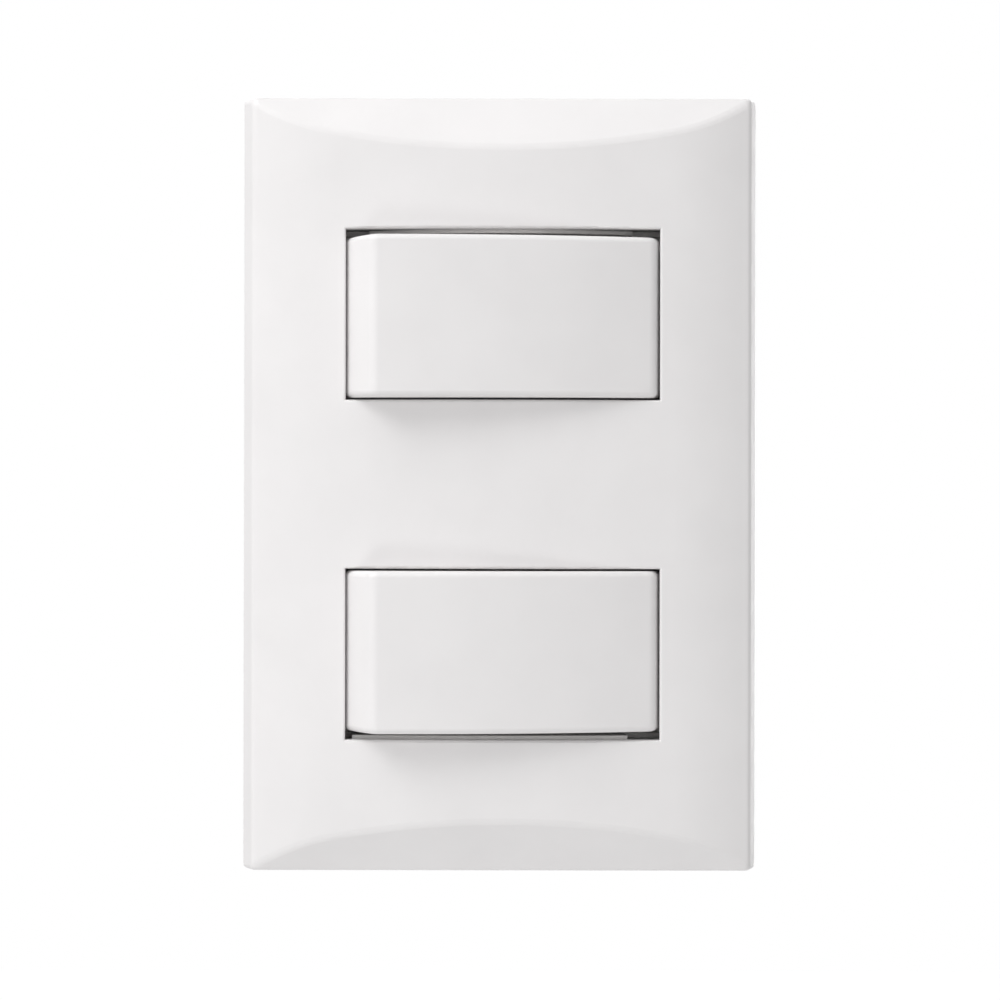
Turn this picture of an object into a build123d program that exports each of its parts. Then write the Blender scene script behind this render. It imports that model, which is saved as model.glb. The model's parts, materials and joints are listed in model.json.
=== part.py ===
from build123d import *
import math
import os

# Double light switch: a clip-fixed wall plate over a mounting frame that carries two rocker switch inserts.
# Frame: +X right, +Z up, the front faces -Y, and the wall's surface is the plane y = 0.
# Lengths are millimetres, angles are degrees.

# Wall plate
plate_width = 78.0
plate_height = 117.2
plate_rise = 8.5  # the middle of the front, ahead of the wall
plate_wall = 2.2
plate_side_draft = 18.5
plate_end_draft = 3.0
plate_side_round = 1.2
plate_end_round = 0.8
plate_rim_round = 0.35  # where the outside meets the wall
plate_inner_round = 0.5
crown_radius = 240.0
shoulder_radius = 50.0  # of the front, beside its middle
shoulder_margin = 13.0  # from the plate's side to the start of that arc
facet_length = 8.05  # from the plate's end to the middle of the facet's arc
facet_angle = 29.0
facet_edge_round = 2.2
window_edge_round = 0.35
window_end_draft = 20.0
window_end_gap = 0.55
window_side_gap = 0.8
window_shift = 0.48  # each window's centre lies further out than its rocker's

# Snap hooks of the wall plate
snap_width = 6.0
snap_thickness = 1.4
snap_catch = 0.7
snap_catch_height = 0.7
snap_spread = 18.0
snap_inset = 5.0  # from the frame's end
snap_gap = 0.15

# Mounting frame
frame_thickness = 2.5
frame_side_margin = 7.0
frame_end_margin = 7.0
frame_corner = 4.0
frame_rib_width = 1.4
frame_rib_height = 1.0
frame_opening_gap = 0.15
frame_ledge_depth = 1.2

# Box screws
screw_spacing = 83.5
screw_thread_radius = 1.75
screw_neck_radius = 1.5
screw_length = 17.0
screw_tip_length = 1.5
screw_tip_radius = 0.75
screw_head_radius = 3.0
screw_head_height = 2.3
screw_head_round = 1.2
screw_slot_length = 7.0
screw_hole_gap = 0.2
screw_head_gap = 0.3  # from the head to the nearest switch insert
driver_slot_width = 0.9
driver_slot_depth = 1.1

# Rocker
pivot_depth = 2.0  # the tilt axis, behind the wall's surface
rocker_tilt = 7.0  # to each side of the middle
rocker_height = 24.1
rocker_reach = 24.8  # radius of the end faces about the tilt axis
rocker_rise = 14.0  # front face, ahead of the tilt axis
rocker_crown_radius = 145.0
rocker_skirt = 9.5
rocker_wall = 1.6
rocker_ridge_round = 1.8  # where the front meets the ends
rocker_edge_round = 0.9
leg_half_width = 4.0
leg_thickness = 1.4
leg_gap = 0.2
trunnion_radius = 2.0
trunnion_gap = 0.06
boss_radius = 3.2
boss_length = 8.0  # behind the tilt axis

# Plunger and its spring
plunger_radius = 2.0
plunger_gap = 0.05
plunger_reach = 11.0  # nose, behind the tilt axis
plunger_length = 8.0
plunger_nose_round = 1.8
spigot_radius = 1.1
spigot_length = 1.5
spring_length = 10.0
spring_radius = 1.6
spring_wire_radius = 0.22
spring_turns = 7.0

# Contact lever and tips
lever_tilt = 6.0  # to each side of the middle
lever_half_length = 11.0
lever_half_width = 3.5
lever_thickness = 1.0
lever_corner = 1.5
lever_rise = 1.6  # top of the bar, ahead of its own axis
lever_lift_gap = 0.1  # to the plunger's nose at the middle of the travel
knuckle_radius = 1.2
knuckle_gap = 0.05
tip_offset = 9.2
moving_tip_radius = 1.5
moving_tip_height = 0.8
fixed_tip_radius = 1.7
tip_shank_radius = 0.7
tip_shank_gap = 0.03
contact_gap = 0.1  # left at the end of the travel

# Terminals
strip_thickness = 1.0
strip_half_width = 1.8
strip_slot_gap = 0.2
cradle_height = 2.9
cradle_wall = 0.95
pad_half_width = 4.8
pad_depth = 12.9  # seat of the pad, behind the wall's surface
pad_gap = 0.3
wire_screw_radius = 1.5
wire_screw_gap = 0.03
wire_screw_head_radius = 2.6
wire_screw_head_height = 2.2
wire_screw_head_round = 0.7
wire_screw_tip = 2.0  # ahead of the pad
wire_screw_relief = 0.5
clamp_half_width = 4.4
clamp_half_length = 2.6
clamp_thickness = 1.2
clamp_corner = 0.6
wire_slot_width = 2.6
wire_slot_offset = 2.9

# Switch body
tray_end_wall = 1.8
tray_end_gap = 0.5
tray_lip_wall = 0.6
tray_lip_gap = 0.75
tray_pocket_depth = 1.8
tray_floor = 1.6
tray_lap = 0.2  # behind the frame, all round its opening
tray_corner = 1.2
lip_gap = 0.3  # from the wall plate's inner face
top_lip_half_width = 20.0
top_lip_radius = 60.0
bottom_lip_left = 22.5
bottom_lip_right = 19.0
body_wall = 1.5
body_corner = 0.8
bearing_wall = 1.6
ear_half_width = 3.6
chamber_end_gap = 1.4
compartment_length = 7.1
compartment_side_gap = 0.6
compartment_floor = 1.5
latch_half_width = 3.5
latch_thickness = 1.1
latch_gap = 0.15
latch_catch = 0.8
latch_catch_height = 0.9

# Back cover
cover_thickness = 1.6
cover_gap = 0.1
cover_corner = 0.6
cover_tab_half_width = 2.5
cover_tab_height = 0.9
cover_tab_reach = 0.9
cover_tab_spread = 7.0
stop_half_length = 1.0
stop_inset = 1.2  # from the lever's end
stop_width = 1.0

# Places that follow from the sizes above
plate_half_height = plate_height / 2
facet_start = plate_half_height - facet_length
front_face = -plate_rise
crown_axis = crown_radius - plate_rise
shoulder_place = plate_width / 2 - shoulder_margin
frame_half_width = plate_width / 2 - frame_side_margin
frame_half_height = plate_half_height - frame_end_margin
snap_place = frame_half_height - snap_inset
cut_margin = 5.0  # how far a cutting block runs past the solid

rocker_half_height = rocker_height / 2
rocker_front = pivot_depth - rocker_rise
skirt_back = rocker_front + rocker_skirt
skirt_inside = rocker_half_height - rocker_wall
leg_outer = skirt_inside - leg_gap - bearing_wall - leg_gap
bearing_inner = leg_outer + leg_gap
bearing_outer = bearing_inner + bearing_wall
trunnion_end = bearing_outer - leg_gap

lip_inner = rocker_half_height + tray_lip_gap
tray_half_height = lip_inner + tray_lip_wall
tray_inside = rocker_reach + tray_end_gap
tray_half_width = tray_inside + tray_end_wall
tray_back = tray_pocket_depth + tray_floor

screw_place = screw_spacing / 2
insert_place = screw_place - screw_head_radius - screw_head_gap - tray_half_height
window_place = insert_place + window_shift
window_half_height = rocker_half_height + window_side_gap
opening_half_height = tray_half_height + frame_opening_gap
flange_half_height = opening_half_height + tray_lap
opening_half_width = tray_inside + frame_opening_gap

spring_seat = pivot_depth + plunger_reach - plunger_length
lever_top = pivot_depth + plunger_reach + lever_lift_gap
lever_axis = lever_top + lever_rise
lever_back = lever_top + lever_thickness
strip_front = lever_axis + cradle_height
strip_back = strip_front + strip_thickness
cover_back = strip_back + cover_thickness
body_depth = cover_back

chamber_half_width = lever_half_length + chamber_end_gap
partition_outer = chamber_half_width + body_wall
compartment_end = partition_outer + compartment_length
body_half_width = compartment_end + body_wall
compartment_half_height = pad_half_width + compartment_side_gap
end_half_height = compartment_half_height + bearing_wall
riser_outer = partition_outer + strip_thickness
pad_back = pad_depth + strip_thickness
pad_end = compartment_end - pad_gap
clamp_back = pad_back + clamp_thickness
wire_screw_place = pad_end - wire_screw_head_radius

tip_edge = tip_offset + moving_tip_radius
moving_tip_face = lever_back + moving_tip_height - lever_axis
lever_turn = math.radians(lever_tilt)
tip_closed = lever_axis + moving_tip_face * math.cos(lever_turn) + tip_edge * math.sin(lever_turn)
fixed_tip_front = tip_closed + contact_gap
lever_end_back = (lever_back - lever_axis) * math.cos(lever_turn)
lever_stopped = lever_axis + lever_end_back + lever_half_length * math.sin(lever_turn)


def span(half):
    return (-half, half)


def block(x, y, z):
    """Box between the low and high ends given for each axis."""
    ends = (x, y, z)
    middle = [(low + high) / 2 for low, high in ends]
    return Pos(*middle) * Box(*[high - low for low, high in ends])


def rounded_block(x, y, z, corner):
    """Block whose four edges along Y are rounded."""
    shape = block(x, y, z)
    return fillet(shape.edges().filter_by(Axis.Y), corner)


def rod_y(x, z, radius, y):
    """Cylinder along Y at (x, z) between the two ends of y."""
    return Pos(x, (y[0] + y[1]) / 2, z) * Rot(90, 0, 0) * Cylinder(radius, y[1] - y[0])


def rod_z(x, y, radius, z):
    """Cylinder along Z at (x, y) between the two ends of z."""
    return Pos(x, y, (z[0] + z[1]) / 2) * Cylinder(radius, z[1] - z[0])


def prism_z(points, z):
    """Outline of (x, y) points, drawn out along Z between the two ends of z."""
    return Pos(0, 0, z[0]) * extrude(Polygon(*points, align=None), z[1] - z[0], dir=(0, 0, 1))


def prism_x(points, x):
    """Outline of (y, z) points, drawn out along X between the two ends of x."""
    outline = Plane.YZ * Polygon(*points, align=None)
    return Pos(x[0], 0, 0) * extrude(outline, x[1] - x[0], dir=(1, 0, 0))


def both_sides(shape, plane):
    return shape + mirror(shape, about=plane)


def turned(shape, axis_depth, angle):
    """The shape turned about the upright axis at this depth."""
    return Pos(0, axis_depth, 0) * Rot(0, 0, angle) * Pos(0, -axis_depth, 0) * shape


def crown_at(x):
    """How far the middle of the plate's front stands ahead of the wall at this place across its width."""
    return math.sqrt(crown_radius**2 - x**2) - crown_axis


# Wall plate


def leaning_walls(half, draft, inset):
    """Outline of two walls that lean inwards towards the front: (place, depth) points, moved in by inset."""
    lean = math.radians(draft)
    depth = plate_rise + cut_margin
    rounded_off = plate_rim_round * ((1 + math.sin(lean)) / math.cos(lean) - 1)
    foot = half + rounded_off - inset / math.cos(lean)
    top = foot - depth * math.tan(lean)
    return [(-foot, 0), (foot, 0), (top, -depth), (-top, -depth)]


def arched_front(inset, length):
    """Solid behind the plate's arched front, drawn out along Z, with a tighter arc on each side of its middle."""
    turn = math.asin(shoulder_place / crown_radius)
    shoulder_depth = crown_radius - shoulder_radius
    axis_x = shoulder_depth * math.sin(turn)
    axis_y = crown_axis - shoulder_depth * math.cos(turn)
    radius = shoulder_radius - inset
    side = math.asin((plate_width / 2 + plate_rim_round - axis_x) / radius)
    joint, bend, end = [
        (axis_x + radius * math.sin(angle), axis_y - radius * math.cos(angle))
        for angle in (turn, (turn + side) / 2, side)
    ]
    middle = ThreePointArc((-joint[0], joint[1]), (0, front_face + inset), joint)
    right = ThreePointArc(joint, bend, end)
    left = mirror(right, about=Plane.YZ)
    back = Polyline(end, (end[0], 0), (-end[0], 0), (-end[0], end[1]))
    outline = make_face([*middle.edges(), *right.edges(), *left.edges(), *back.edges()])
    return Pos(0, 0, length[0]) * extrude(outline, length[1] - length[0], dir=(0, 0, 1))


def plate_form(inset, side_round, facet_round, end_round):
    """Solid inside the plate's outer faces, each of them moved inwards by inset, with its edges rounded."""
    length = plate_half_height + cut_margin
    form = arched_front(inset, span(length))
    slope = math.radians(facet_angle)
    for side in (-1, 1):
        normal = Vector(0, -math.cos(slope), side * math.sin(slope))
        start = Vector(0, front_face, side * facet_start) - normal * inset
        beyond = Pos(0, 0, plate_height / 2) * Box(2 * plate_width, plate_height, plate_height)
        form -= Plane(start, x_dir=(1, 0, 0), z_dir=normal).location * beyond
        facet = form.faces().sort_by(Axis(start, normal))[-1]
        form = fillet(facet.edges().filter_by(GeomType.ELLIPSE), facet_round)
    form &= prism_z(leaning_walls(plate_width / 2, plate_side_draft, inset), span(length))
    for last in (0, -1):
        wall = form.faces().sort_by(Axis.X)[last]
        front_run = wall.edges().filter_by(lambda e: e.center().Y < 0 and abs(e.center().Z) < plate_half_height)
        form = fillet(front_run, side_round)
    ends = leaning_walls(plate_half_height, plate_end_draft, inset)
    form &= prism_x([(depth, place) for place, depth in ends], span(plate_width))
    for last in (0, -1):
        wall = form.faces().sort_by(Axis.Z)[last]
        form = fillet(wall.edges().sort_by(Axis.Y)[:-1], end_round)
    return form


def window_cutter(side):
    """Window with upright ends that open towards the back, as the rocker's round ends need."""
    level = pivot_depth + plate_rise
    front = math.sqrt(rocker_reach**2 - level**2) + window_end_gap
    slope = math.tan(math.radians(window_end_draft))
    near, far = front - cut_margin * slope, front + plate_rise * slope
    points = [(-near, front_face - cut_margin), (near, front_face - cut_margin), (far, 0), (-far, 0)]
    middle = side * window_place
    return prism_z(points, (middle - window_half_height, middle + window_half_height))


def snap_hook(side):
    """Hook inside the plate: it passes through the frame and catches under its ledge."""
    inner = snap_place - snap_thickness / 2
    outer = snap_place + snap_thickness / 2
    root = -(crown_at(snap_spread + snap_width / 2) - plate_wall / 2)
    catch_front = -frame_ledge_depth + snap_gap
    tip = catch_front + snap_catch_height
    outline = [
        (root, inner),
        (root, outer),
        (catch_front, outer),
        (catch_front, outer + snap_catch),
        (tip, outer),
        (tip, inner),
    ]
    across = (snap_spread - snap_width / 2, snap_spread + snap_width / 2)
    return prism_x([(y, side * z) for y, z in outline], across)


def wall_plate():
    plate = plate_form(0, plate_side_round, facet_edge_round, plate_end_round)
    plate = fillet(plate.faces().sort_by(Axis.Y)[-1].edges(), plate_rim_round)
    plate -= plate_form(plate_wall, plate_inner_round, plate_inner_round, plate_inner_round / 2)
    for side in (-1, 1):
        plate -= window_cutter(side)
    reach = window_place + window_half_height + window_edge_round
    mouths = plate.edges().filter_by(
        lambda e: e.bounding_box().max.Y < -crown_at(rocker_reach + window_end_gap)
        and abs(e.center().Z) < reach
        and abs(e.center().X) < rocker_reach
    )
    plate = fillet(mouths, window_edge_round)
    for side in (-1, 1):
        plate += both_sides(snap_hook(side), Plane.YZ)
    return plate


# Mounting frame


def frame_opening(side):
    """Opening for one insert, with an end notch for each of its latches."""
    middle = side * insert_place
    height = (middle - opening_half_height, middle + opening_half_height)
    depth = (-frame_thickness - cut_margin, cut_margin)
    notch = latch_half_width + frame_opening_gap
    opening = block(span(opening_half_width), depth, height)
    return opening + block(span(latch_place() + latch_gap), depth, (middle - notch, middle + notch))


def snap_slot(side):
    """Slot for one of the plate's hooks, stepped so that its catch has a ledge."""
    outer = snap_place + snap_thickness / 2 + snap_gap
    inner = snap_place - snap_thickness / 2 - snap_catch - snap_gap
    reach = outer + snap_catch + snap_gap
    across = (snap_spread - snap_width / 2 - snap_gap, snap_spread + snap_width / 2 + snap_gap)
    outline = [
        (-frame_thickness - cut_margin, inner),
        (-frame_thickness - cut_margin, outer),
        (-frame_ledge_depth, outer),
        (-frame_ledge_depth, reach),
        (cut_margin, reach),
        (cut_margin, inner),
    ]
    return prism_x([(y, side * z) for y, z in outline], across)


def mounting_frame():
    front = -frame_thickness - frame_rib_height
    frame = block(span(frame_half_width), (front, 0), span(frame_half_height))
    frame = fillet(frame.edges().filter_by(Axis.Y), frame_corner)
    inside_x = frame_half_width - frame_rib_width
    inside_z = frame_half_height - frame_rib_width
    recess = block(span(inside_x), (front - cut_margin, -frame_thickness), span(inside_z))
    frame -= fillet(recess.edges().filter_by(Axis.Y), frame_corner - frame_rib_width)
    bar = insert_place - opening_half_height - frame_rib_width
    slot = SlotOverall(screw_slot_length, 2 * (screw_thread_radius + screw_hole_gap))
    through = frame_thickness + 2 * cut_margin
    for side in (-1, 1):
        height = (side * bar - frame_rib_width / 2, side * bar + frame_rib_width / 2)
        frame += block(span(inside_x), (front, 0), height)
        frame -= frame_opening(side)
        frame -= Pos(0, -through / 2, side * screw_place) * Rot(-90, 0, 0) * extrude(slot, through)
        frame -= both_sides(snap_slot(side), Plane.YZ)
    return frame


# Box screws


def driver_slot(x, z, face, radius, sign):
    """Straight driver slot in a head whose outer face lies at y = face, open towards sign."""
    depth = sorted((face - sign * driver_slot_depth, face + sign * cut_margin))
    half = driver_slot_width / 2
    return block((x - radius, x + radius), depth, (z - half, z + half))


def box_screw(z):
    head_front = -frame_thickness - screw_head_height
    head = rod_y(0, z, screw_head_radius, (head_front, -frame_thickness))
    head = fillet(head.edges().group_by(Axis.Y)[0], screw_head_round)
    head -= driver_slot(0, z, head_front, screw_head_radius, -1)
    neck = rod_y(0, z, screw_neck_radius, (-frame_thickness, 0))
    thread = rod_y(0, z, screw_thread_radius, (0, screw_length - screw_tip_length))
    tip = Cone(screw_thread_radius, screw_tip_radius, screw_tip_length)
    tip_middle = screw_length - screw_tip_length / 2
    return head + neck + thread + Pos(0, tip_middle, z) * Rot(-90, 0, 0) * tip


# Rocker, plunger and spring


def rocker():
    """Hollow cap with two legs on trunnions and a boss for the plunger, upright in its middle position."""
    depth = (rocker_front, skirt_back)
    ends = rod_z(0, pivot_depth, rocker_reach, span(rocker_half_height))
    front_axis = rocker_front + rocker_crown_radius
    front = rod_z(0, front_axis, rocker_crown_radius, span(rocker_half_height))
    cap = block(span(rocker_reach), depth, span(rocker_half_height)) & ends & front
    cap = fillet(cap.edges().filter_by(Axis.Z).sort_by(Axis.Y)[:2], rocker_ridge_round)
    for last in (0, -1):
        side = cap.faces().sort_by(Axis.Z)[last]
        cap = fillet(side.edges().sort_by(Axis.Y)[:-1], rocker_edge_round)
    hollow = block(span(rocker_reach), (rocker_front, skirt_back + cut_margin), span(skirt_inside))
    hollow &= rod_z(0, pivot_depth, rocker_reach - rocker_wall, span(rocker_half_height))
    hollow &= rod_z(0, front_axis, rocker_crown_radius - rocker_wall, span(rocker_half_height))
    cap -= hollow
    root = rocker_front + rocker_wall / 2 + leg_half_width**2 / (2 * rocker_crown_radius)
    leg_height = (leg_outer - leg_thickness, leg_outer)
    leg = block(span(leg_half_width), (root, pivot_depth), leg_height)
    leg += rod_z(0, pivot_depth, leg_half_width, leg_height)
    leg += rod_z(0, pivot_depth, trunnion_radius, (leg_outer, trunnion_end))
    boss = rod_y(0, 0, boss_radius, (root, pivot_depth + boss_length))
    bore_depth = (spring_seat - spring_length, pivot_depth + boss_length + cut_margin)
    bore = rod_y(0, 0, plunger_radius + plunger_gap, bore_depth)
    return cap + both_sides(leg, Plane.XY) + boss - bore


def plunger():
    nose = pivot_depth + plunger_reach
    body = rod_y(0, 0, plunger_radius, (spring_seat, nose))
    body = fillet(body.edges().group_by(Axis.Y)[-1], plunger_nose_round)
    return body + rod_y(0, 0, spigot_radius, (spring_seat - spigot_length, spring_seat))


def plunger_spring():
    """Coil between the end of the boss's bore and the plunger's shoulder."""
    travel = spring_length - 2 * spring_wire_radius
    start = (0, spring_seat - spring_length + spring_wire_radius, 0)
    coil = Helix(travel / spring_turns, travel, spring_radius, center=start, direction=(0, 1, 0))
    wire = Plane(coil @ 0, z_dir=coil % 0) * Circle(spring_wire_radius)
    return sweep(wire, path=coil)


# Contact lever, tips and terminals


def contact_lever():
    bar = block(span(lever_half_length), (lever_top, lever_back), span(lever_half_width))
    bar = fillet(bar.edges().filter_by(Axis.Y), lever_corner)
    bar += rod_z(0, lever_axis, knuckle_radius, span(strip_half_width))
    return bar - rod_y(tip_offset, 0, tip_shank_radius + tip_shank_gap, (lever_top - cut_margin, lever_back))


def moving_tip():
    face = lever_back + moving_tip_height
    tip = rod_y(tip_offset, 0, moving_tip_radius, (lever_back, face))
    return tip + rod_y(tip_offset, 0, tip_shank_radius, (lever_top, lever_back))


def fixed_tip():
    tip = rod_y(tip_offset, 0, fixed_tip_radius, (fixed_tip_front, strip_front))
    return tip + rod_y(tip_offset, 0, tip_shank_radius, (strip_front, strip_back))


def terminal_end():
    """Riser and screw pad of a terminal on the right-hand side."""
    riser = block((partition_outer, riser_outer), (pad_depth, strip_back), span(strip_half_width))
    pad = block((partition_outer, pad_end), (pad_depth, pad_back), span(pad_half_width))
    hole = rod_y(wire_screw_place, 0, wire_screw_radius + wire_screw_gap, (pad_depth, pad_back))
    return riser + pad - hole


def common_terminal():
    """Terminal on the left, whose strip carries the cradle that the lever rocks in."""
    groove = knuckle_radius + knuckle_gap
    half = groove + cradle_wall
    post = block(span(half), (lever_axis, strip_back), span(strip_half_width))
    post -= rod_z(0, lever_axis, groove, span(lever_half_width))
    strip = block((-riser_outer, half), (strip_front, strip_back), span(strip_half_width))
    return post + strip + mirror(terminal_end(), about=Plane.YZ)


def switched_terminal():
    """Terminal on the right, whose strip carries the fixed tip."""
    inner = tip_offset - fixed_tip_radius
    strip = block((inner, riser_outer), (strip_front, strip_back), span(strip_half_width))
    strip -= rod_y(tip_offset, 0, tip_shank_radius + tip_shank_gap, (strip_front, strip_back))
    return strip + terminal_end()


def clamp_plate(x):
    length = (x - clamp_half_length, x + clamp_half_length)
    plate = block(length, (pad_back, clamp_back), span(clamp_half_width))
    plate = fillet(plate.edges().filter_by(Axis.Y), clamp_corner)
    return plate - rod_y(x, 0, wire_screw_radius + wire_screw_gap, (pad_back, clamp_back))


def terminal_screw(x):
    head_back = clamp_back + wire_screw_head_height
    head = rod_y(x, 0, wire_screw_head_radius, (clamp_back, head_back))
    head = fillet(head.edges().group_by(Axis.Y)[-1], wire_screw_head_round)
    head -= driver_slot(x, 0, head_back, wire_screw_head_radius, 1)
    return head + rod_y(x, 0, wire_screw_radius, (pad_depth - wire_screw_tip, clamp_back))


# Switch body and back cover


def latch_place():
    """Outer face of a latch's arm, measured from the insert's middle."""
    return tray_half_width - latch_gap


def latch():
    """Hook at the right end of the tray: it passes the frame and catches on its front."""
    outer = latch_place()
    inner = outer - latch_thickness
    catch_back = -frame_thickness - latch_gap
    catch_front = catch_back - latch_catch_height
    outline = [
        (inner, tray_pocket_depth),
        (outer, tray_pocket_depth),
        (outer, catch_back),
        (outer + latch_catch, catch_back),
        (outer, catch_front),
        (inner, catch_front),
    ]
    return prism_z(outline, span(latch_half_width))


def arched_lip(across, radius):
    """Wall above the rocker, arched towards the plate, which stands in the gap between rocker and window."""
    crest = front_face + plate_wall + lip_gap
    height = (lip_inner, tray_half_height)
    return block(across, (front_face, 0), height) & rod_z(0, crest + radius, radius, height)


def bearing_ear():
    height = (bearing_inner, bearing_outer)
    ear = rod_z(0, pivot_depth, ear_half_width, height)
    return ear + block(span(ear_half_width), (pivot_depth, tray_back), height)


def terminal_compartment():
    """Space for the pad, clamp and screw on the right-hand side, open to the back, with its wire slots."""
    inside = (partition_outer, compartment_end)
    back = body_depth + cut_margin
    space = block(inside, (pad_depth, back), span(compartment_half_height))
    relief = wire_screw_radius + wire_screw_relief
    space += rod_y(wire_screw_place, 0, relief, (pad_depth - cut_margin, pad_depth))
    slot_gap = strip_half_width + strip_slot_gap
    space += block((chamber_half_width, partition_outer), (strip_front, back), span(slot_gap))
    for side in (-1, 1):
        middle = side * wire_slot_offset
        slot = (middle - wire_slot_width / 2, middle + wire_slot_width / 2)
        space += block((compartment_end, body_half_width + cut_margin), (pad_back, back), slot)
    return space


def switch_body():
    deep = (0, body_depth)
    pocket_back = pad_depth - compartment_floor
    body = rounded_block(span(tray_half_width), (0, tray_back), span(flange_half_height), tray_corner)
    body += rounded_block(span(partition_outer), deep, span(bearing_outer), body_corner)
    body += rounded_block(span(body_half_width), deep, span(end_half_height), body_corner)
    body -= block(span(tray_inside), (front_face, tray_pocket_depth), span(lip_inner))
    body += both_sides(bearing_ear(), Plane.XY)
    body -= block(span(chamber_half_width), (front_face, cover_back + cut_margin), span(bearing_inner))
    body -= block(span(partition_outer), (strip_back, cover_back + cut_margin), span(bearing_inner))
    pocket_depth = (front_face, pocket_back)
    pocket = block((partition_outer, compartment_end), pocket_depth, span(compartment_half_height))
    body -= both_sides(pocket, Plane.YZ)
    body -= both_sides(terminal_compartment(), Plane.YZ)
    body -= rod_z(0, pivot_depth, trunnion_radius + trunnion_gap, span(bearing_outer))
    tab = cover_tab_half_width + cover_gap
    for side in (-1, 1):
        across = (side * cover_tab_spread - tab, side * cover_tab_spread + tab)
        depth = (strip_back, strip_back + cover_tab_height + cover_gap)
        body -= block(across, depth, span(bearing_outer + cut_margin))
    body += arched_lip(span(top_lip_half_width), top_lip_radius)
    bottom_lip = arched_lip((-bottom_lip_left, bottom_lip_right), crown_radius - plate_wall - lip_gap)
    body += mirror(bottom_lip, about=Plane.XY)
    body += both_sides(latch(), Plane.YZ)
    return body


def back_cover():
    half_height = bearing_inner - cover_gap
    half_width = partition_outer - cover_gap
    cover = rounded_block(span(half_width), (strip_back, cover_back), span(half_height), cover_corner)
    tab_depth = (strip_back, strip_back + cover_tab_height)
    for side in (-1, 1):
        middle = side * cover_tab_spread
        across = (middle - cover_tab_half_width, middle + cover_tab_half_width)
        cover += block(across, tab_depth, span(half_height + cover_tab_reach))
        inner = strip_half_width + strip_slot_gap
        stop_height = sorted((side * inner, side * (inner + stop_width)))
        stop_middle = stop_inset - lever_half_length
        stop_length = (stop_middle - stop_half_length, stop_middle + stop_half_length)
        cover += block(stop_length, (lever_stopped + contact_gap, strip_back), stop_height)
    return cover


def switch_insert():
    """One switch, at rest with its left end proud: each piece by name, about the insert's own middle."""
    tilted = [rocker(), plunger(), plunger_spring()]
    tilted = [turned(shape, pivot_depth, rocker_tilt) for shape in tilted]
    rocking = [turned(shape, lever_axis, -lever_tilt) for shape in (contact_lever(), moving_tip())]
    sides = (-wire_screw_place, wire_screw_place)
    return {
        "switch_body": switch_body(),
        "back_cover": back_cover(),
        "rocker": tilted[0],
        "plunger": tilted[1],
        "plunger_spring": tilted[2],
        "contact_lever": rocking[0],
        "moving_tip": rocking[1],
        "fixed_tip": fixed_tip(),
        "common_terminal": common_terminal(),
        "switched_terminal": switched_terminal(),
        "terminal_screws": Compound([terminal_screw(x) for x in sides]),
        "clamp_plates": Compound([clamp_plate(x) for x in sides]),
    }


pieces = {
    "wall_plate": wall_plate(),
    "mounting_frame": mounting_frame(),
    "box_screws": Compound([box_screw(z) for z in (-screw_place, screw_place)]),
}
for level, place in (("upper", insert_place), ("lower", -insert_place)):
    for name, shape in switch_insert().items():
        pieces[f"{level}_{name}"] = Pos(0, 0, place) * shape

os.makedirs("parts", exist_ok=True)
for name, shape in pieces.items():
    export_step(shape, f"parts/{name}.step")
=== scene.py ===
import json
import math

import bpy
from mathutils import Matrix, Vector


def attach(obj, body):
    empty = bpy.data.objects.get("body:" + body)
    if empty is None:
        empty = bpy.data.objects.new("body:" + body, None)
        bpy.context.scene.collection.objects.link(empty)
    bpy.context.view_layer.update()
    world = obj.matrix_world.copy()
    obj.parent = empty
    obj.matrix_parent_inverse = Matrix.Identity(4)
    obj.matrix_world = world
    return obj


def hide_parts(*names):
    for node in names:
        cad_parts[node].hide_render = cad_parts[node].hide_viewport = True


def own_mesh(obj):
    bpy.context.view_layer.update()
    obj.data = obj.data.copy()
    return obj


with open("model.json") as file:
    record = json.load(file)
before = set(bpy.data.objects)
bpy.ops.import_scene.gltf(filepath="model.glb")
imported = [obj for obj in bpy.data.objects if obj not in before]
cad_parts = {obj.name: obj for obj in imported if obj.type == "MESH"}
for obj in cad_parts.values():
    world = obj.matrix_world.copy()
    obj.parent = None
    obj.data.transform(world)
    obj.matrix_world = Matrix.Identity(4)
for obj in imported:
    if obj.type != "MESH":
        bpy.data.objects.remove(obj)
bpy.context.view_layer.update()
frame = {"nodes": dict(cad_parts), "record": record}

# Double light switch, as it hangs on a wall: +X right, +Z up, and the front faces -Y.
# Sizes are millimetres and become metres where a mesh, a light or a material takes them.
MM = 0.001
LEVELS = {"upper": 1, "lower": -1}

# The photograph's view: square to the plate, from a little to its left
CAMERA_DISTANCE = 410.0
CAMERA_SIDE = -30.0
CAMERA_HEIGHT = -2.4
CAMERA_ROLL = math.radians(-0.1)
CAMERA_NEAR = 10.0
VIEW_WIDTH = 152.8  # of the plane of the wall
VIEW_MIDDLE = 0.12  # right of the plate's own middle
SENSOR_WIDTH = 36.0

# Floor, far below, and soft white light, most of it from the upper left
FLOOR_DROP = 600.0
FLOOR_SIZE = 6000.0
FLOOR_GLOW = 0.6
AMBIENT = 0.426
LAMPS = {
    "upper_left": {"place": (-500, -500, 550), "width": 420, "power": 2.37},
    "high_left": {"place": (-600, -250, 700), "width": 600, "power": 3.15},
    "above": {"place": (0, -300, 900), "width": 700, "power": 1.4},
    "front": {"place": (0, -900, 0), "width": 700, "power": 0.83},
    "lower_left": {"place": (-150, -470, -416), "width": 190, "power": 0.6},
    "behind": {"place": (250, 700, 60), "width": 500, "power": 1.9},
}

# Patterns of the finishes: the values of a noise that stand for the two ends of each
CLOUD_ENDS = (0.32, 0.68)
STAIN_ENDS = (0.35, 0.65)
GRAIN_ENDS = (0.3, 0.7)
CLOUD_DETAIL = 3.0
STAIN_DETAIL = 4.0
GRAIN_DETAIL = 2.0

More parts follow.
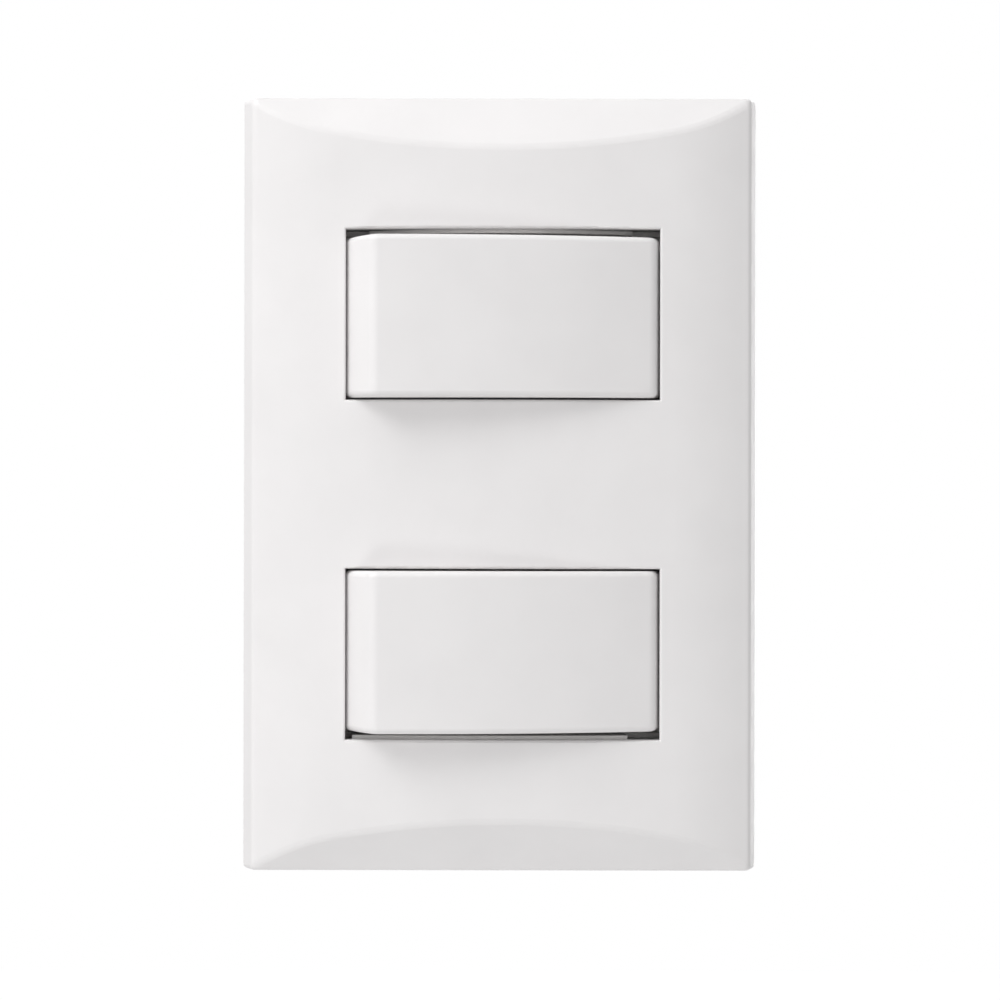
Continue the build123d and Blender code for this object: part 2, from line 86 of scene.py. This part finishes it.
# Width over which an edge is softened
MOULDED_EDGE = 0.12
METAL_EDGE = 0.08
EDGE_SAMPLES = 6

# Box screws and terminal screws
SCREW_SPACING = 83.5
BOX_SCREW_SEAT = -2.5
TERMINAL_SCREW_SPACING = 36.2
TERMINAL_SCREW_SEAT = 15.1
BOX_SCREW = {
    "Thread Radius": 1.75,
    "Root Radius": 1.38,
    "Pitch": 0.6,
    "Neck Length": 2.5,
    "Shank Length": 19.5,
    "Tip Length": 1.5,
    "Tip Radius": 0.75,
    "Head Radius": 3.0,
    "Head Height": 2.3,
    "Slot Width": 0.9,
    "Slot Depth": 1.1,
}
TERMINAL_SCREW = {
    "Thread Radius": 1.5,
    "Root Radius": 1.2,
    "Pitch": 0.5,
    "Neck Length": 1.2,
    "Shank Length": 4.2,
    "Tip Length": 0.4,
    "Tip Radius": 1.0,
    "Head Radius": 2.6,
    "Head Height": 2.2,
    "Slot Width": 0.9,
    "Slot Depth": 1.1,
}
THREAD_FLANK = (0.07, 0.44)  # from root to crest, in pitches
SHANK_SINK = 0.5  # start of the shank inside the head, in head heights
SLOT_REACH = 3.0  # length of the slot's cutter, in head radii
DOME_POWER = 0.5  # below one, the head's side stands steeper than a ball's
SHANK_POINTS = (37, 321)  # round and along
HEAD_POINTS = (49, 24)
SEAM = 1e-7  # metres, within which points become one
SHARP_BEND = 0.6  # radians between two faces, past which their edge stays sharp

# Rows of a turned form's grid, which runs from -0.5 to 0.5: the outermost close to a point
GRID_END = 0.5
OPEN_ROWS = 0.4999
DOME_END = 0.42

# Plunger springs, about the rocker's own axis
SPRING = {"Coil Radius": 1.6, "Wire Radius": 0.22, "Length": 10.0}
SPRING_WINDING = {"Turns": 7.0, "Closing": 0.8}
SPRING_START = -7.0  # from the tilt axis, along the plunger
COIL_POINTS = 40  # in each turn
WIRE_POINTS = 12
PIVOT_DEPTH = 2.0
INSERT_PLACE = 25.05
ROCKER_TILT = math.radians(7)


def srgb(code):
    """Linear colour of a hex code, with alpha."""
    parts = [int(code[i : i + 2], 16) / 255 for i in (1, 3, 5)]
    return (*[p / 12.92 if p <= 0.04045 else ((p + 0.055) / 1.055) ** 2.4 for p in parts], 1)


def add(tree, kind, links=None, **settings):
    """Adds a node. Its sockets, by name or number, take values, other nodes' first outputs or outputs."""
    node = tree.nodes.new(kind)
    for name, value in settings.items():
        setattr(node, name, value)
    for key, value in (links or {}).items():
        if isinstance(value, bpy.types.Node):
            value = value.outputs[0]
        if isinstance(value, bpy.types.NodeSocket):
            tree.links.new(value, node.inputs[key])
        else:
            node.inputs[key].default_value = value
    return node


# Finishes


def surface(name, **constants):
    """Material with one shader, whose steady values are set on it."""
    material = bpy.data.materials.new(name)
    material.use_nodes = True
    shader = material.node_tree.nodes["Principled BSDF"]
    for key, value in constants.items():
        shader.inputs[key.replace("_", " ")].default_value = value
    return material, material.node_tree, shader


def pattern(tree, size_mm, detail, stretch=(1, 1, 1)):
    """Noise with lumps of this size, drawn out where stretch is below one."""
    place = add(tree, "ShaderNodeTexCoord").outputs["Object"]
    drawn_out = add(tree, "ShaderNodeMapping", {"Vector": place, "Scale": stretch})
    scale = 1 / (size_mm * MM)
    return add(tree, "ShaderNodeTexNoise", {"Vector": drawn_out, "Scale": scale, "Detail": detail})


def two_tone(tree, shader, field, ends, colours):
    """Base colour that passes from one colour to the other as the field passes between its ends."""
    ramp = add(tree, "ShaderNodeValToRGB", {"Fac": field})
    for stop, end, code in zip(ramp.color_ramp.elements, ends, colours):
        stop.position = end
        stop.color = srgb(code)
    tree.links.new(ramp.outputs["Color"], shader.inputs["Base Color"])


def grained(tree, shader, field, gloss, depth_mm, edge_mm):
    """Uneven gloss and bumps of this depth, both from the field, on edges softened over edge_mm."""
    ends = {"From Min": GRAIN_ENDS[0], "From Max": GRAIN_ENDS[1], "To Min": gloss[0], "To Max": gloss[1]}
    rough = add(tree, "ShaderNodeMapRange", {"Value": field, **ends})
    tree.links.new(rough.outputs["Result"], shader.inputs["Roughness"])
    soft = add(tree, "ShaderNodeBevel", {"Radius": edge_mm * MM}, samples=EDGE_SAMPLES)
    bump = add(tree, "ShaderNodeBump", {"Height": field, "Distance": depth_mm * MM, "Normal": soft})
    tree.links.new(bump.outputs["Normal"], shader.inputs["Normal"])


def moulded(name, colours, gloss, grain_mm, depth_mm, ior, cloud_mm=11.0):
    """Moulded plastic: clouds between two near colours, uneven gloss and the mould's own grain."""
    material, tree, shader = surface(name, IOR=ior)
    two_tone(tree, shader, pattern(tree, cloud_mm, CLOUD_DETAIL), CLOUD_ENDS, colours)
    grained(tree, shader, pattern(tree, grain_mm, GRAIN_DETAIL), gloss, depth_mm, MOULDED_EDGE)
    return material


def metal(name, colours, gloss, grain_mm, depth_mm, stain_mm, stretch=(1, 1, 1)):
    """Bare or plated metal: stains between two colours, and grain drawn out along its working direction."""
    material, tree, shader = surface(name, Metallic=1.0)
    two_tone(tree, shader, pattern(tree, stain_mm, STAIN_DETAIL), STAIN_ENDS, colours)
    grained(tree, shader, pattern(tree, grain_mm, GRAIN_DETAIL, stretch), gloss, depth_mm, METAL_EDGE)
    return material


finishes = {
    # White ABS from a polished mould: even, a soft sheen with faint waves in it
    "white_plastic": moulded(
        "polished_white_abs",
        colours=("#e8e6e6", "#ebe9e9"),
        gloss=(0.42, 0.5),
        grain_mm=1.4,
        depth_mm=0.002,
        ior=1.54,
    ),
    # Light grey polycarbonate from a spark-eroded mould: dull and finely grained
    "frame_plastic": moulded(
        "grained_grey_polycarbonate",
        colours=("#bebcbb", "#c8c6c5"),
        gloss=(0.5, 0.62),
        grain_mm=0.35,
        depth_mm=0.012,
        ior=1.58,
    ),
    # Pale polyamide: satin, slightly warm, with flow marks
    "body_plastic": moulded(
        "pale_polyamide",
        colours=("#eeecea", "#f1efed"),
        gloss=(0.4, 0.52),
        grain_mm=0.5,
        depth_mm=0.008,
        ior=1.53,
    ),
    # Dark glass-filled polyamide: dull, with mottled fibres
    "cover_plastic": moulded(
        "glass_filled_polyamide",
        colours=("#595b5e", "#606265"),
        gloss=(0.5, 0.64),
        grain_mm=0.4,
        depth_mm=0.014,
        ior=1.53,
        cloud_mm=2.2,
    ),
    # Natural acetal: waxy and smooth
    "plunger_plastic": moulded(
        "natural_acetal",
        colours=("#e9e5d8", "#efece2"),
        gloss=(0.28, 0.36),
        grain_mm=0.9,
        depth_mm=0.003,
        ior=1.48,
    ),
    # Drawn spring wire: grey, with fine lines from the die
    "spring_steel": metal(
        "drawn_spring_wire",
        colours=("#8b8c90", "#a3a4a7"),
        gloss=(0.24, 0.4),
        grain_mm=0.12,
        depth_mm=0.003,
        stain_mm=1.0,
    ),
    # Brass strip, rolled and stamped: yellow, with rolling lines and light tarnish
    "brass_strip": metal(
        "stamped_brass",
        colours=("#c09a4e", "#d6b56c"),
        gloss=(0.22, 0.42),
        grain_mm=0.3,
        depth_mm=0.004,
        stain_mm=2.5,
        stretch=(0.06, 1, 1),
    ),
    # Silver alloy of the contacts: bright, with a satin face from coining
    "silver_tip": metal(
        "coined_silver_alloy",
        colours=("#d3d0c9", "#e4e2dd"),
        gloss=(0.2, 0.34),
        grain_mm=0.25,
        depth_mm=0.003,
        stain_mm=0.8,
    ),
    # Zinc plate with a thin blue passivation: cool grey, slightly uneven
    "zinc_steel": metal(
        "zinc_plated_steel",
        colours=("#bcc2ca", "#d0d0c8"),
        gloss=(0.24, 0.4),
        grain_mm=0.3,
        depth_mm=0.004,
        stain_mm=1.6,
        stretch=(1, 0.2, 1),
    ),
}
for subpart in frame["record"]["subparts"]:
    for piece_slot in frame["nodes"][subpart["node"]].material_slots:
        piece_slot.material = finishes[subpart["material_slot"]]


# Screws and springs, which repeat


def growing_tree(name, sizes):
    """Geometry tree with a named number for each size, and the outputs that give them."""
    tree = bpy.data.node_groups.new(name, "GeometryNodeTree")
    for size in sizes:
        tree.interface.new_socket(size, in_out="INPUT", socket_type="NodeSocketFloat")
    tree.interface.new_socket("Copies", in_out="INPUT", socket_type="NodeSocketInt")
    tree.interface.new_socket("Step", in_out="INPUT", socket_type="NodeSocketVector")
    tree.interface.new_socket("Geometry", in_out="OUTPUT", socket_type="NodeSocketGeometry")
    return tree, tree.nodes.new("NodeGroupInput").outputs


def finish_tree(tree, size, mesh, material):
    """Closes a tree: a row of copies of the mesh, a step apart, made real and given their finish."""
    row = {"Count": size["Copies"], "Offset": size["Step"]}
    points = add(tree, "GeometryNodeMeshLine", row, mode="OFFSET")
    placed = add(tree, "GeometryNodeInstanceOnPoints", {"Points": points, "Instance": mesh})
    plain = add(tree, "GeometryNodeRealizeInstances", {"Geometry": placed})
    coated = add(tree, "GeometryNodeSetMaterial", {"Geometry": plain, "Material": material})
    add(tree, "NodeGroupOutput", {"Geometry": coated})


def turned_form(tree, points, radius, along):
    """Closed round form about Y from a flat grid, whose fields give its radius and its place along Y."""
    columns, rows = points
    sheet = {"Size X": 2 * GRID_END, "Size Y": 2 * GRID_END, "Vertices X": columns, "Vertices Y": rows}
    grid = add(tree, "GeometryNodeMeshGrid", sheet)
    flat = add(tree, "ShaderNodeSeparateXYZ", {"Vector": add(tree, "GeometryNodeInputPosition")})
    across, up = flat.outputs["X"], flat.outputs["Y"]
    angle = add(tree, "ShaderNodeMath", {0: across, 1: math.tau}, operation="MULTIPLY")
    open_rows = add(tree, "ShaderNodeMath", {0: up, 1: 0.0, 2: OPEN_ROWS}, operation="COMPARE")
    reach = add(tree, "ShaderNodeMath", {0: radius(across, up), 1: open_rows}, operation="MULTIPLY")
    cosine = add(tree, "ShaderNodeMath", {0: angle}, operation="COSINE")
    sine = add(tree, "ShaderNodeMath", {0: angle}, operation="SINE")
    x = add(tree, "ShaderNodeMath", {0: reach, 1: cosine}, operation="MULTIPLY")
    z = add(tree, "ShaderNodeMath", {0: reach, 1: sine}, operation="MULTIPLY")
    down = add(tree, "ShaderNodeMath", {0: z, 1: -1.0}, operation="MULTIPLY")
    point = add(tree, "ShaderNodeCombineXYZ", {"X": x, "Y": along(up), "Z": down})
    bent = add(tree, "GeometryNodeSetPosition", {"Geometry": grid, "Position": point})
    return add(tree, "GeometryNodeMergeByDistance", {"Geometry": bent, "Distance": SEAM})


def screw_tree():
    """Slotted screw along Y, its head's seat at the origin and its thread cut by a helix."""
    tree, size = growing_tree("slotted_screw", BOX_SCREW)
    sunk = add(tree, "ShaderNodeMath", {0: size["Head Height"], 1: -SHANK_SINK}, operation="MULTIPLY")

    def shank_along(up):
        ends = {"From Min": -GRID_END, "From Max": GRID_END, "To Min": sunk, "To Max": size["Shank Length"]}
        return add(tree, "ShaderNodeMapRange", {"Value": up, **ends})

    def shank_radius(across, up):
        along = shank_along(up)
        turns = add(tree, "ShaderNodeMath", {0: along, 1: size["Pitch"]}, operation="DIVIDE")
        phase = add(tree, "ShaderNodeMath", {0: turns, 1: across}, operation="SUBTRACT")
        flank = add(tree, "ShaderNodeMath", {0: phase, 1: 0.5}, operation="PINGPONG")
        slope = {"Value": flank, "From Min": THREAD_FLANK[0], "From Max": THREAD_FLANK[1]}
        limits = {"To Min": size["Root Radius"], "To Max": size["Thread Radius"]}
        thread = add(tree, "ShaderNodeMapRange", {**slope, **limits})
        runout = add(tree, "ShaderNodeMath", {0: size["Neck Length"], 1: size["Pitch"]}, operation="ADD")
        start = {"Value": along, "From Min": size["Neck Length"], "From Max": runout}
        begun = add(tree, "ShaderNodeMapRange", start)
        grown_to = {"Factor": begun, "A": size["Root Radius"], "B": thread.outputs["Result"]}
        cut = add(tree, "ShaderNodeMix", grown_to)
        shank_end = size["Shank Length"]
        tip_start = add(tree, "ShaderNodeMath", {0: shank_end, 1: size["Tip Length"]}, operation="SUBTRACT")
        point = {"From Min": tip_start, "From Max": shank_end, "To Min": size["Thread Radius"]}
        tip = add(tree, "ShaderNodeMapRange", {"Value": along, **point, "To Max": size["Tip Radius"]})
        return add(tree, "ShaderNodeMath", {0: cut.outputs[0], 1: tip}, operation="MINIMUM")

    def head_side(up, operation, reach):
        quarter = {"From Min": -GRID_END, "From Max": DOME_END, "To Min": math.pi / 2, "To Max": 0.0}
        turn = add(tree, "ShaderNodeMapRange", {"Value": up, **quarter})
        share = add(tree, "ShaderNodeMath", {0: turn}, operation=operation)
        squared_off = add(tree, "ShaderNodeMath", {0: share, 1: DOME_POWER}, operation="POWER")
        return add(tree, "ShaderNodeMath", {0: squared_off, 1: reach}, operation="MULTIPLY")

    def head_radius(across, up):
        return head_side(up, "COSINE", size["Head Radius"])

    def head_along(up):
        height = head_side(up, "SINE", size["Head Height"])
        return add(tree, "ShaderNodeMath", {0: height, 1: -1.0}, operation="MULTIPLY")

    shank = turned_form(tree, SHANK_POINTS, shank_radius, shank_along)
    head = turned_form(tree, HEAD_POINTS, head_radius, head_along)
    whole = add(tree, "GeometryNodeMeshBoolean", operation="UNION", solver="EXACT")
    for form in (head, shank):
        tree.links.new(form.outputs[0], whole.inputs["Mesh 2"])
    slot_length = add(tree, "ShaderNodeMath", {0: size["Head Radius"], 1: SLOT_REACH}, operation="MULTIPLY")
    slot_depth = add(tree, "ShaderNodeMath", {0: size["Slot Depth"], 1: 2.0}, operation="MULTIPLY")
    slot_size = add(tree, "ShaderNodeCombineXYZ", {"X": slot_length, "Y": slot_depth, "Z": size["Slot Width"]})
    head_top = add(tree, "ShaderNodeMath", {0: size["Head Height"], 1: -1.0}, operation="MULTIPLY")
    slot_place = add(tree, "ShaderNodeCombineXYZ", {"Y": head_top})
    blade = add(tree, "GeometryNodeMeshCube", {"Size": slot_size})
    slot = add(tree, "GeometryNodeTransform", {"Geometry": blade, "Translation": slot_place})
    slotted = add(tree, "GeometryNodeMeshBoolean", {"Mesh 1": whole, "Mesh 2": slot}, solver="EXACT")
    smooth = add(tree, "GeometryNodeSetShadeSmooth", {"Geometry": slotted})
    bend = add(tree, "GeometryNodeInputMeshEdgeAngle").outputs["Unsigned Angle"]
    sharp = add(tree, "ShaderNodeMath", {0: bend, 1: SHARP_BEND}, operation="GREATER_THAN")
    edges = {"Geometry": smooth, "Selection": sharp, "Shade Smooth": False}
    edged = add(tree, "GeometryNodeSetShadeSmooth", edges, domain="EDGE")
    finish_tree(tree, size, edged, finishes["zinc_steel"])
    return tree


def spring_tree():
    """Coil spring along Y from the origin, whose end turns close up."""
    tree, size = growing_tree("coil_spring", {**SPRING, **SPRING_WINDING})
    wire_ends = add(tree, "ShaderNodeMath", {0: size["Wire Radius"], 1: 2.0}, operation="MULTIPLY")
    rise = add(tree, "ShaderNodeMath", {0: size["Length"], 1: wire_ends}, operation="SUBTRACT")
    radius = {"Start Radius": size["Coil Radius"], "End Radius": size["Coil Radius"]}
    winding = {"Resolution": COIL_POINTS, "Rotations": size["Turns"], "Height": rise}
    coil = add(tree, "GeometryNodeCurveSpiral", {**winding, **radius})
    at = add(tree, "ShaderNodeSeparateXYZ", {"Vector": add(tree, "GeometryNodeInputPosition")})
    share = add(tree, "ShaderNodeMath", {0: at.outputs["Z"], 1: rise}, operation="DIVIDE")
    wave = add(tree, "ShaderNodeMath", {0: share, 1: math.tau}, operation="MULTIPLY")
    swing = add(tree, "ShaderNodeMath", {0: wave}, operation="SINE")
    closing = add(tree, "ShaderNodeMath", {0: size["Closing"], 1: -1 / math.tau}, operation="MULTIPLY")
    eased = add(tree, "ShaderNodeMath", {0: swing, 1: closing, 2: share}, operation="MULTIPLY_ADD")
    height = add(tree, "ShaderNodeMath", {0: eased, 1: rise, 2: size["Wire Radius"]}, operation="MULTIPLY_ADD")
    point = add(tree, "ShaderNodeCombineXYZ", {"X": at.outputs["X"], "Y": height, "Z": at.outputs["Y"]})
    wound = add(tree, "GeometryNodeSetPosition", {"Geometry": coil, "Position": point})
    section = {"Resolution": WIRE_POINTS, "Radius": size["Wire Radius"]}
    wire = add(tree, "GeometryNodeCurvePrimitiveCircle", section)
    drawn = add(tree, "GeometryNodeCurveToMesh", {"Curve": wound, "Profile Curve": wire, "Fill Caps": True})
    smooth = add(tree, "GeometryNodeSetShadeSmooth", {"Geometry": drawn})
    finish_tree(tree, size, smooth, finishes["spring_steel"])
    return tree


def metres(sizes):
    return {name: length * MM for name, length in sizes.items()}


def grown(name, tree, sizes, place):
    """Plain mesh that the tree grows from these sizes, moved to its place."""
    piece = bpy.data.objects.new(name, bpy.data.meshes.new(name))
    bpy.context.scene.collection.objects.link(piece)
    modifier = piece.modifiers.new("growth", "NODES")
    modifier.node_group = tree
    for item in tree.interface.items_tree:
        if item.in_out == "INPUT":
            modifier[item.identifier] = sizes[item.name]
    made = piece.evaluated_get(bpy.context.evaluated_depsgraph_get())
    mesh = bpy.data.meshes.new_from_object(made)
    piece.modifiers.clear()
    piece.data = mesh
    mesh.transform(place)
    return piece


screws = screw_tree()
springs = spring_tree()
box_sizes = {**metres(BOX_SCREW), "Copies": 2, "Step": (0, 0, SCREW_SPACING * MM)}
terminal_sizes = {**metres(TERMINAL_SCREW), "Copies": 2, "Step": (TERMINAL_SCREW_SPACING * MM, 0, 0)}
spring_sizes = {**metres(SPRING), **SPRING_WINDING, "Copies": 1, "Step": (0, 0, 0)}

box_place = Matrix.Translation((0, BOX_SCREW_SEAT * MM, -SCREW_SPACING / 2 * MM))
box_screws = grown("threaded_box_screws", screws, box_sizes, box_place)
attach(box_screws, "base")
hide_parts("box_screws")

about_face = Matrix.Rotation(math.pi, 4, "Z")
spring_axis = Vector((-math.sin(ROCKER_TILT), math.cos(ROCKER_TILT), 0))
for level, level_side in LEVELS.items():
    height = level_side * INSERT_PLACE * MM
    seat = Vector((TERMINAL_SCREW_SPACING / 2 * MM, TERMINAL_SCREW_SEAT * MM, height))
    place = Matrix.Translation(seat) @ about_face
    terminal_screws = grown(f"{level}_threaded_terminal_screws", screws, terminal_sizes, place)
    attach(terminal_screws, "base")
    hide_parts(f"{level}_terminal_screws")

    pivot = Vector((0, PIVOT_DEPTH * MM, height))
    anchor = pivot + SPRING_START * MM * spring_axis
    place = Matrix.Translation(anchor) @ Matrix.Rotation(ROCKER_TILT, 4, "Z")
    spring = grown(f"{level}_wound_spring", springs, spring_sizes, place)
    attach(spring, f"{level}_rocker")
    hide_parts(f"{level}_plunger_spring")
    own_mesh(spring)


# Floor and light


def shown(tree):
    """One on rays that show the surroundings, to the camera or in metal and glass, and nought on the rest."""
    path = add(tree, "ShaderNodeLightPath").outputs
    direct = {0: path["Is Camera Ray"], 1: path["Is Glossy Ray"]}
    seen = add(tree, "ShaderNodeMath", direct, operation="MAXIMUM")
    return add(tree, "ShaderNodeMath", {0: seen, 1: path["Is Transmission Ray"]}, operation="MAXIMUM")


floor_mesh = bpy.data.meshes.new("floor")
floor_half = FLOOR_SIZE / 2 * MM
sides = ((-1, -1), (1, -1), (1, 1), (-1, 1))
corners = [(x * floor_half, y * floor_half, -FLOOR_DROP * MM) for x, y in sides]
floor_mesh.from_pydata(corners, [], [(0, 1, 2, 3)])
floor = bpy.data.objects.new("floor", floor_mesh)
bpy.context.scene.collection.objects.link(floor)
# White paper: dull, and lifted to white where it shows
paper, paper_tree, paper_shader = surface("white_paper", Base_Color=srgb("#eeeeee"), Roughness=0.8)
floor_mesh.materials.append(paper)
paper_shader.inputs["Emission Color"].default_value = (1, 1, 1, 1)
glow = add(paper_tree, "ShaderNodeMath", {0: shown(paper_tree), 1: FLOOR_GLOW}, operation="MULTIPLY")
paper_tree.links.new(glow.outputs[0], paper_shader.inputs["Emission Strength"])

for name, lamp in LAMPS.items():
    light = bpy.data.objects.new(name, bpy.data.lights.new(name, "AREA"))
    light.data.energy = lamp["power"]
    light.data.size = lamp["width"] * MM
    light.location = Vector(lamp["place"]) * MM
    light.rotation_euler = (-light.location).to_track_quat("-Z", "Y").to_euler()
    light.visible_camera = False
    bpy.context.scene.collection.objects.link(light)

world = bpy.data.worlds.new("studio")
bpy.context.scene.world = world
world.use_nodes = True
sky = world.node_tree
strength = add(sky, "ShaderNodeMapRange", {"Value": shown(sky), "To Min": AMBIENT, "To Max": 1.0})
background = sky.nodes["Background"]
background.inputs["Color"].default_value = (1, 1, 1, 1)
sky.links.new(strength.outputs["Result"], background.inputs["Strength"])

# Camera
camera = bpy.data.objects.new("camera", bpy.data.cameras.new("camera"))
bpy.context.scene.collection.objects.link(camera)
camera.location = (CAMERA_SIDE * MM, -CAMERA_DISTANCE * MM, CAMERA_HEIGHT * MM)
camera.rotation_euler = (math.pi / 2, CAMERA_ROLL, 0)
camera.data.sensor_width = SENSOR_WIDTH
camera.data.lens = SENSOR_WIDTH * CAMERA_DISTANCE / VIEW_WIDTH
camera.data.shift_x = (VIEW_MIDDLE - CAMERA_SIDE) / VIEW_WIDTH
camera.data.clip_start = CAMERA_NEAR * MM
bpy.context.scene.camera = camera
bpy.context.scene.view_settings.view_transform = "Standard"
